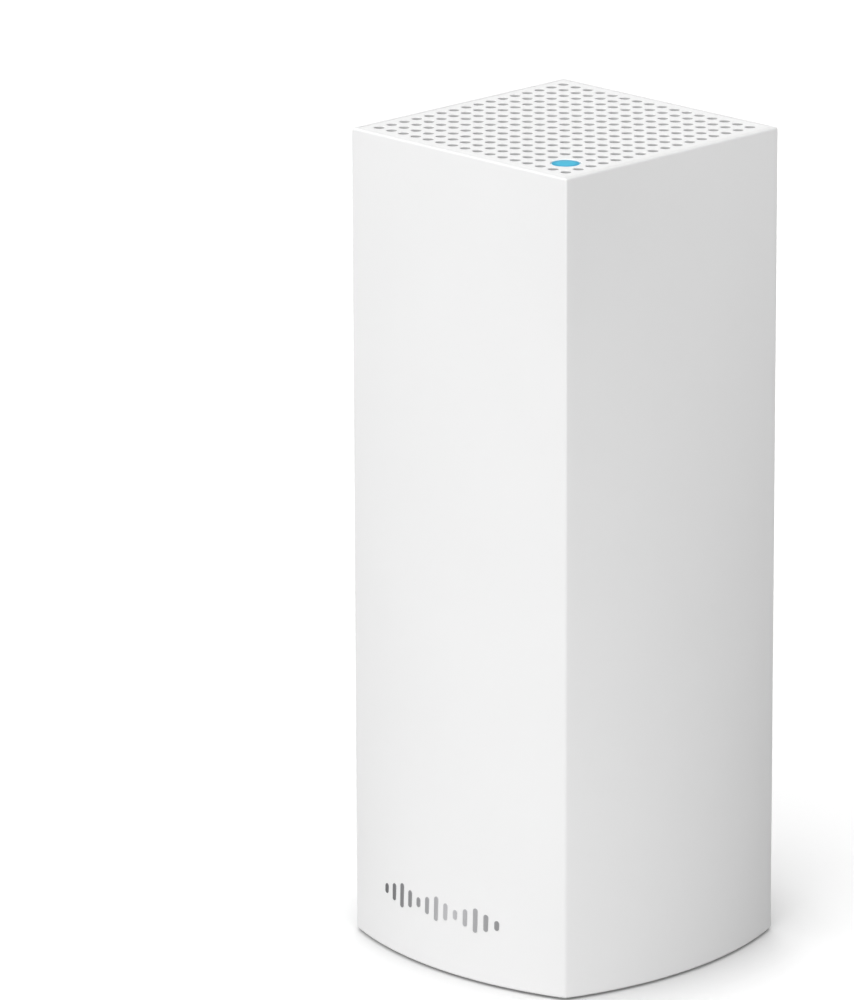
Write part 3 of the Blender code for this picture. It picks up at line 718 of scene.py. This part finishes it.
def make_mark():
    bm = bmesh.new()
    tallest = MARK_HIGH.z - MARK_LOW.z - MARK_MARGIN
    middle = (MARK_HIGH.z + MARK_LOW.z) / 2
    first = MARK_LOW.x + BAR_WIDTH
    step = (MARK_HIGH.x - MARK_LOW.x - 2 * BAR_WIDTH) / (len(BAR_HEIGHTS) - 1)
    lay_flat = Matrix.Rotation(math.pi / 2, 4, "X")
    for index, share in enumerate(BAR_HEIGHTS):
        place = Matrix.Translation((first + index * step, 0, middle)) @ lay_flat
        disc = bmesh.ops.create_circle(
            bm, cap_ends=True, segments=BAR_SIDES, radius=BAR_WIDTH / 2, matrix=place,
        )["verts"]
        pull = (tallest * share - BAR_WIDTH) / 2
        for vert in disc:
            vert.co.z += math.copysign(pull, vert.co.z - middle)
    made = bmesh.ops.extrude_face_region(bm, geom=bm.faces[:], use_keep_orig=True)["geom"]
    front = set(verts_in(made))
    bmesh.ops.recalc_face_normals(bm, faces=bm.faces)
    for vert in bm.verts:
        proud = BAR_PROUD if vert in front else -BAR_SUNK
        vert.co.y = wall_y(vert.co.x, vert.co.z) - proud
    bmesh.ops.recalc_face_normals(bm, faces=bm.faces)
    return bm


def stamped_foil():
    """Hot-stamped silver foil. Its colour carries a painted reflection: a slow sweep along the mark, light in its
    middle.
    """
    material, tree, shader, place = start_material("hot_stamped_silver_foil_painted_reflection", 0.34, metallic=0.6)
    split = add_node(tree, "ShaderNodeSeparateXYZ", {0: place})
    along = add_node(
        tree, "ShaderNodeMapRange", {0: split.outputs["X"], 1: MARK_LOW.x, 2: MARK_HIGH.x},
    )
    # Painted reflection: the colour runs from dark to light along the mark, lightest just past its middle.
    ramp = add_node(tree, "ShaderNodeValToRGB", {0: along.outputs[0]})
    stops = ramp.color_ramp.elements
    stops[0].color = linear("#7A7A7C")
    stops[1].color = linear("#A4A4A6")
    stops.new(0.35).color = linear("#ACACAE")
    stops.new(0.62).color = linear("#DADADC")
    grain = add_node(
        tree, "ShaderNodeTexNoise", {"Vector": place, "Scale": 1 / (0.25 * MM), "Detail": 2.0},
    )
    gloss = add_node(tree, "ShaderNodeMapRange", {0: grain.outputs[0], 3: 0.28, 4: 0.42})
    set_sockets(shader, {"Base Color": ramp.outputs[0], "Roughness": gloss.outputs[0]})
    return material


show("stamped_mark", make_mark(), stamped_foil(), "front_badge", smooth=math.radians(30))

# %% [markdown]
# ## The underside
#
# Turned over, the node shows a base tray with a deep well for the sockets. The tray already has its real
# shape in the frame, so a copy of it is merged and its sharp edges are bevelled. A moulded part never has
# a dead sharp edge, and the thin highlight on each edge is most of what makes it look made rather than
# drawn.

# %% Base tray and sockets
def softened(name, node, material, radius_mm, segments=2):
    """A copy of a node with its sharp edges rounded."""
    bm = merged_copy(node)
    round_edges(bm, sharp_edges(bm), radius_mm * MM, segments)
    piece = show(name, bm, material, node)
    add_weighted_normals(piece)
    return piece


SOCKET_PBT = moulded("moulded_black_pbt", "#1B1B1C", "#161617", 0.42)
FRAME_PC = moulded("moulded_black_pc_abs", "#242526", "#1D1E1F", 0.6, depth_mm=0.02)
softened("base_moulding", "base_tray", BASE_ABS, 0.3)
softened("lan_housing_1", "lan_jack_1", SOCKET_PBT, 0.25)
softened("lan_housing_2", "lan_jack_2", SOCKET_PBT, 0.25)
softened("inlet_housing", "dc_jack", SOCKET_PBT, 0.2)
softened("switch_housing", "power_switch_body", SOCKET_PBT, 0.25)
softened("switch_rocker", "power_rocker", moulded("moulded_black_pa", "#202021", "#1A1A1B", 0.35), 0.3)

# %% [markdown]
# ## Contacts
#
# Each network socket has eight spring contacts. A contact is a stiff gold-plated wire, anchored at the
# mouth and sloping back into the hollow, so that a plug presses it flat. One helper carries a round end
# along a list of points, and the same helper serves for any other wire.

# %% Socket contacts
CONTACTS = 8
CONTACT_PITCH = 1.02 * MM
CONTACT_RADIUS = 0.2 * MM
SOCKET_WALL = 1.75 * MM
CONTACT_WAY = [(0.3, 11.0), (0.3, 2.0), (0.05, 1.3), (0.5, 0.9), (1.1, 1.4), (4.3, 9.6)]


def wire(bm, points, radius, sides=8):
    """Carries a round end through a list of points, turning it to follow the way."""
    points = [Vector(point) for point in points]
    steps = [(b - a).normalized() for a, b in zip(points, points[1:])]
    ways = [steps[0]] + [(a + b).normalized() for a, b in zip(steps, steps[1:])] + [steps[-1]]
    turn = ways[0].to_track_quat("Z", "X").to_matrix().to_4x4()
    start = bmesh.ops.create_circle(
        bm, cap_ends=True, segments=sides, radius=radius, matrix=Matrix.Translation(points[0]) @ turn,
    )
    face = start["verts"][0].link_faces[0]
    for index in range(1, len(points)):
        made = bmesh.ops.extrude_face_region(bm, geom=[face], use_keep_orig=index == 1)["geom"]
        ring = verts_in(made)
        face = next(item for item in made if isinstance(item, bmesh.types.BMFace))
        bmesh.ops.translate(bm, verts=ring, vec=points[index] - points[index - 1])
        bend = ways[index - 1].rotation_difference(ways[index]).to_matrix()
        bmesh.ops.rotate(bm, verts=ring, cent=points[index], matrix=bend)


def metal(name, light, dark, roughness, grain_mm=0.4, stretch=(1, 1, 1)):
    """Bare or plated metal. Its grain shows in the gloss, and stretch draws it out along one way."""
    material, tree, shader, place = start_material(name, roughness, metallic=1.0)
    drawn = add_node(tree, "ShaderNodeMapping", {"Vector": place, "Scale": stretch})
    grain = add_node(
        tree, "ShaderNodeTexNoise",
        {"Vector": drawn.outputs[0], "Scale": 1 / (grain_mm * MM), "Detail": 3.0},
    )
    tone = add_node(
        tree, "ShaderNodeMix", {0: grain.outputs[0], 6: linear(light), 7: linear(dark)}, data_type="RGBA",
    )
    gloss = add_node(
        tree, "ShaderNodeMapRange", {0: grain.outputs[0], 3: roughness - 0.08, 4: roughness + 0.1},
    )
    relief = add_node(tree, "ShaderNodeBump", {"Height": grain.outputs[0], "Distance": 0.004 * MM})
    set_sockets(shader, {
        "Base Color": tone.outputs[2], "Roughness": gloss.outputs[0], "Normal": relief.outputs[0],
    })
    return material


def make_contacts(jack):
    """Eight contacts. Each follows the same way, out from the wall and up from the mouth."""
    low, high = size_of(jack)
    wall = high.y - (SOCKET_WALL + CONTACT_RADIUS)
    centre = (low.x + high.x) / 2
    bm = bmesh.new()
    for index in range(CONTACTS):
        x = centre + (index - (CONTACTS - 1) / 2) * CONTACT_PITCH
        points = [(x, wall - out * MM, low.z + up * MM) for out, up in CONTACT_WAY]
        wire(bm, points, CONTACT_RADIUS)
    bmesh.ops.recalc_face_normals(bm, faces=bm.faces)
    return bm


GOLD_FLASH = metal("gold_flashed_bronze", "#E8C274", "#D9AE58", 0.28)
for number in (1, 2):
    jack = f"lan_jack_{number}"
    show(f"lan_contacts_{number}", make_contacts(jack), GOLD_FLASH, jack, hides=False)

# %% [markdown]
# ## Pin, button and feet
#
# These are all turned shapes. The inlet's pin ends in a half ball, so that a plug finds its way on. The
# reset button has a small dish for the tip of a pen. Each foot is a soft disc with a rounded edge and a
# shallow ring moulded in its face, and the screws sit hidden behind the feet.

# %% Turned pieces
def make_pin():
    low, high = size_of("dc_pin")
    radius = (high.x - low.x) / 2
    angles = [step * math.pi / 12 for step in range(7)]
    tip = [(radius * math.sin(angle), low.z + radius * (1 - math.cos(angle))) for angle in angles]
    tip[0] = (0, low.z)
    return turned(tip + [(radius, high.z), (0, high.z)], (low.x + high.x) / 2, (low.y + high.y) / 2)


def make_button():
    low, high = size_of("reset_button")
    collar = (high.x - low.x) / 2
    stem = 1.8 * MM
    shoulder = high.z - 1.2 * MM
    profile = [
        (0, low.z + 0.25 * MM), (0.7 * MM, low.z + 0.18 * MM), (1.15 * MM, low.z + 0.02 * MM),
        (1.5 * MM, low.z), (1.72 * MM, low.z + 0.1 * MM), (stem, low.z + 0.35 * MM), (stem, shoulder),
        (collar - 0.15 * MM, shoulder), (collar, shoulder + 0.15 * MM), (collar, high.z), (0, high.z),
    ]
    return turned(profile, (low.x + high.x) / 2, (low.y + high.y) / 2)


def make_foot(node):
    low, high = size_of(node)
    radius = (high.x - low.x) / 2
    profile = [
        (0, 0.15 * MM), (2.2 * MM, 0.15 * MM), (2.4 * MM, 0.02 * MM), (2.7 * MM, 0),
        (radius - 0.45 * MM, 0), (radius - 0.15 * MM, 0.12 * MM), (radius, 0.42 * MM),
        (radius, high.z - 0.2 * MM), (radius - 0.15 * MM, high.z), (0, high.z),
    ]
    return turned(profile, (low.x + high.x) / 2, (low.y + high.y) / 2, steps=40)


RUBBER = moulded("moulded_silicone_rubber", "#8E9092", "#85878A", 0.75, grain=0.4 * MM, depth_mm=0.03)
NICKEL = metal("nickel_plated_brass", "#CFCBC2", "#BDB8AE", 0.25)
show("inlet_pin", make_pin(), NICKEL, "dc_pin")
RED_ABS = moulded("moulded_red_abs", "#B3242B", "#A51E26", 0.4)
show("reset_key_cap", make_button(), RED_ABS, "reset_button")
for number in (1, 2, 3, 4):
    show(f"foot_{number}", make_foot(f"rubber_foot_{number}"), RUBBER, f"rubber_foot_{number}")

# %% [markdown]
# ## Marks on the rocker and the blank label
#
# A power rocker carries a bar and a ring, the usual signs for on and off, printed in white. They are cut
# as flat shapes, thickened and laid on the rocker's two slanted faces. The label under the base stays
# blank. It is a sheet with rounded corners, and its printed border is part of its material.

# %% Rocker marks and label
ROCKER_AXIS = Vector(next(joint for joint in frame["joints"] if joint["name"] == "power_rock")["pos_m"])
ROCKER_REST = math.radians(-10)
ROCKER_MIDDLE = 2.6 * MM
ROCKER_END = 4.1 * MM
ROCKER_REACH = 5.2 * MM
ROCKER_FACE = math.atan2(ROCKER_END - ROCKER_MIDDLE, ROCKER_REACH)
PRINT_AT = 2.9 * MM
PRINT_THICK = 0.05 * MM
LABEL_THICK = 0.12 * MM
LABEL_CORNER = 1.2 * MM
BORDER_INSET = 1.1 * MM
BORDER_HALF = 0.12 * MM


def on_rocker(bm, side):
    """Lays a flat shape from the XY plane onto one slanted half of the rocker."""
    tilt = Matrix.Rotation(ROCKER_REST, 4, "X")
    out = Vector((0, side * PRINT_AT, -(ROCKER_MIDDLE + PRINT_AT * math.tan(ROCKER_FACE))))
    face = Matrix.Rotation(-side * ROCKER_FACE, 4, "X")
    lay = Matrix.Translation(ROCKER_AXIS) @ tilt @ Matrix.Translation(out) @ face
    bmesh.ops.transform(bm, verts=bm.verts, matrix=lay)


def thicken(bm, thickness):
    """Gives a flat shape on the XY plane its thickness, half on each side."""
    made = bmesh.ops.extrude_face_region(bm, geom=bm.faces[:], use_keep_orig=True)["geom"]
    bmesh.ops.translate(bm, verts=bm.verts, vec=(0, 0, -thickness / 2))
    bmesh.ops.translate(bm, verts=verts_in(made), vec=(0, 0, thickness))
    bmesh.ops.recalc_face_normals(bm, faces=bm.faces)


def make_on_bar():
    bm = bmesh.new()
    bmesh.ops.create_grid(bm, x_segments=1, y_segments=1, size=0.5)
    bmesh.ops.scale(bm, verts=bm.verts, vec=(0.4 * MM, 2.2 * MM, 1))
    thicken(bm, 2 * PRINT_THICK)
    on_rocker(bm, -1)
    return bm


def make_off_ring():
    bm = bmesh.new()
    inner = bmesh.ops.create_circle(bm, segments=32, radius=0.8 * MM)["verts"]
    outer = bmesh.ops.create_circle(bm, segments=32, radius=1.2 * MM)["verts"]
    rings = {edge for vert in inner + outer for edge in vert.link_edges}
    bmesh.ops.bridge_loops(bm, edges=list(rings))
    thicken(bm, 2 * PRINT_THICK)
    on_rocker(bm, 1)
    return bm


WHITE_PRINT = moulded("pad_printed_white_ink", "#E9E9E6", "#DEDEDA", 0.6, depth_mm=0.004)
show("rocker_on_bar", make_on_bar(), WHITE_PRINT, "power_rocker", hides=False)
show("rocker_off_ring", make_off_ring(), WHITE_PRINT, "power_rocker", hides=False)


def make_label():
    low, high = size_of("rating_label")
    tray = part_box("base_tray")[0][2]
    bm = bmesh.new()
    bmesh.ops.create_grid(bm, x_segments=1, y_segments=1, size=0.5)
    bmesh.ops.scale(bm, verts=bm.verts, vec=(high.x - low.x, high.y - low.y, 1))
    bmesh.ops.bevel(
        bm, geom=bm.verts[:], offset=LABEL_CORNER, segments=5, profile=0.5, affect="VERTICES",
        material=-1,
    )
    thicken(bm, LABEL_THICK)
    middle = (low + high) / 2
    bmesh.ops.translate(bm, verts=bm.verts, vec=(middle.x, middle.y, tray - LABEL_THICK / 2))
    return bm


def label_film():
    """Matt polyester film with a thin printed frame a millimetre inside its edge."""
    low, high = size_of("rating_label")
    middle = (low + high) / 2
    half = (high - low) / 2
    material, tree, shader, place = start_material("printed_polyester_film", 0.45)
    shift = add_node(tree, "ShaderNodeMapping", {"Vector": place, "Location": (-middle.x, -middle.y, 0)})
    size = add_node(tree, "ShaderNodeVectorMath", {0: shift.outputs[0]}, operation="ABSOLUTE")
    from_edge = add_node(
        tree, "ShaderNodeVectorMath", {0: half, 1: size.outputs[0]}, operation="SUBTRACT",
    )
    sides = add_node(tree, "ShaderNodeSeparateXYZ", {0: from_edge.outputs[0]})
    nearest = add_node(
        tree, "ShaderNodeMath", {0: sides.outputs["X"], 1: sides.outputs["Y"]}, operation="MINIMUM",
    )
    line = add_node(
        tree, "ShaderNodeMath", {0: nearest.outputs[0], 1: BORDER_INSET, 2: BORDER_HALF},
        operation="COMPARE",
    )
    tone = add_node(
        tree, "ShaderNodeMix", {0: line.outputs[0], 6: linear("#DADBDB"), 7: linear("#8B8D90")},
        data_type="RGBA",
    )
    fine = add_node(tree, "ShaderNodeTexNoise", {"Vector": place, "Scale": 1 / (0.3 * MM), "Detail": 2.0})
    relief = add_node(tree, "ShaderNodeBump", {"Height": fine.outputs[0], "Distance": 0.006 * MM})
    set_sockets(shader, {"Base Color": tone.outputs[2], "Normal": relief.outputs[0]})
    return material


show("blank_label", make_label(), label_film(), "rating_label")

# %% [markdown]
# ## Inside
#
# Through the holes and from below, the inside counts too. The frame's solids already have the right shapes here.
# The larger ones get rounded edges like the tray's, and every other node keeps its mesh and gets the finish of
# what it is: rolled tin plate, extruded aluminium, green solder mask over copper, and so on.

# %% Inside: finishes
VIA_SPACING = 4 * MM
VIA_SHARE = 0.09


def solder_mask():
    """Green solder mask over etched copper. Tracks show as raised, lighter lines, with tinned dots."""
    material, tree, shader, place = start_material("solder_mask_on_fr4", 0.32, ior=1.55)
    laid = add_node(tree, "ShaderNodeMapping", {"Vector": place, "Rotation": (math.pi / 2, 0, 0)})
    tracks = []
    for turn, length, gap in ((0, 7.0, 1.4), (math.pi / 2, 11.0, 2.6)):
        turned_way = add_node(
            tree, "ShaderNodeMapping", {"Vector": laid.outputs[0], "Rotation": (0, 0, turn)},
        )
        grid = add_node(
            tree, "ShaderNodeTexBrick",
            {
                "Vector": turned_way.outputs[0], "Scale": 1 / MM, "Mortar Size": 0.1,
                "Mortar Smooth": 0.3, "Brick Width": length, "Row Height": gap,
            },
            offset=0.37,
        )
        tracks.append(grid.outputs["Fac"])
    both = add_node(tree, "ShaderNodeMath", {0: tracks[0], 1: tracks[1]}, operation="MAXIMUM")
    green = add_node(
        tree, "ShaderNodeMix", {0: both.outputs[0], 6: linear("#1D5535"), 7: linear("#2C7048")},
        data_type="RGBA",
    )
    dots = add_node(
        tree, "ShaderNodeTexVoronoi", {"Vector": place, "Scale": 1 / VIA_SPACING, "Randomness": 0.4},
    )
    via = add_node(
        tree, "ShaderNodeMath", {0: dots.outputs["Distance"], 1: VIA_SHARE}, operation="LESS_THAN",
    )
    tin = add_node(
        tree, "ShaderNodeMix", {0: via.outputs[0], 6: green.outputs[2], 7: linear("#C9CCCB")},
        data_type="RGBA",
    )
    relief = add_node(tree, "ShaderNodeBump", {"Height": both.outputs[0], "Distance": 0.03 * MM})
    set_sockets(shader, {"Base Color": tin.outputs[2], "Normal": relief.outputs[0]})
    return material


def lit_led():
    """Clear epoxy over a lit chip."""
    material, tree, shader, place = start_material("clear_epoxy_lit", 0.2, ior=1.53)
    glow = add_node(tree, "ShaderNodeTexNoise", {"Vector": place, "Scale": 1 / (2 * MM), "Detail": 1.0})
    tone = add_node(
        tree, "ShaderNodeMix", {0: glow.outputs[0], 6: linear("#8FE3F7"), 7: linear("#5CC9E8")},
        data_type="RGBA",
    )
    set_sockets(shader, {
        "Base Color": tone.outputs[2], "Emission Color": tone.outputs[2], "Emission Strength": 1.5,
    })
    return material


TIN = metal("rolled_tin_plated_steel", "#C4C6C8", "#B2B4B6", 0.3, grain_mm=0.8, stretch=(1, 1, 0.08))
ALUMINIUM = metal("extruded_aluminium", "#CDCED0", "#BEBFC1", 0.38, grain_mm=0.5, stretch=(1, 1, 0.03))
FINISH = {
    "circuit_board": solder_mask(),
    "led_lens": lit_led(),
    "lead_jacket": moulded("extruded_fep_jacket", "#D9D9D6", "#CFCFCB", 0.3),
    "tinned_steel": TIN,
    "aluminium": ALUMINIUM,
    "brass": metal("stamped_brass", "#D9BD7B", "#C9AB66", 0.3, grain_mm=0.5, stretch=(1, 1, 0.1)),
    "chip_epoxy": moulded("transfer_moulded_epoxy", "#242527", "#1C1D1F", 0.55, grain=0.15 * MM),
    "thermal_pad": moulded(
        "filled_silicone_pad", "#7C93AD", "#6F869F", 0.8, grain=0.4 * MM, depth_mm=0.04,
    ),
    "ceramic_antenna": moulded("sintered_ceramic", "#E9E4DA", "#DED8CC", 0.3, ior=1.7),
    "black_plastic": SOCKET_PBT,
    "black_frame": FRAME_PC,
}

# %% [markdown]
# One loop gives the large inner parts their rounded edges. A rounded edge of a tenth or two of a
# millimetre is right for a bent or moulded part of this size.

# %% Inside: pieces
ROUNDED_INSIDE = {
    "inner_frame": ("frame_moulding", 0.25),
    "front_heatsink": ("front_cooler", 0.12),
    "rear_heatsink": ("rear_cooler", 0.12),
    "processor_shield": ("processor_can", 0.25),
    "front_radio_shield": ("front_radio_can", 0.25),
    "rear_radio_shield": ("rear_radio_can", 0.25),
    "reset_switch": ("reset_switch_case", 0.2),
}
for node, (name, radius_mm) in ROUNDED_INSIDE.items():
    softened(name, node, FINISH[SLOT_OF[node]], radius_mm)
print("inside pieces:", len(ROUNDED_INSIDE))

# %% [markdown]
# The nodes that are still shown keep their own mesh: screws, chips, pads, antennas and their leads. A
# second loop gives each of them the finish of its material slot, so that nothing is left in plain grey.

# %% Finish for every node that is still shown
carried = [node for node, piece in NODES.items() if not piece.hide_render]
for node in carried:
    for material_slot in NODES[node].material_slots:
        material_slot.material = FINISH[SLOT_OF[node]]
print("carried over:", carried)
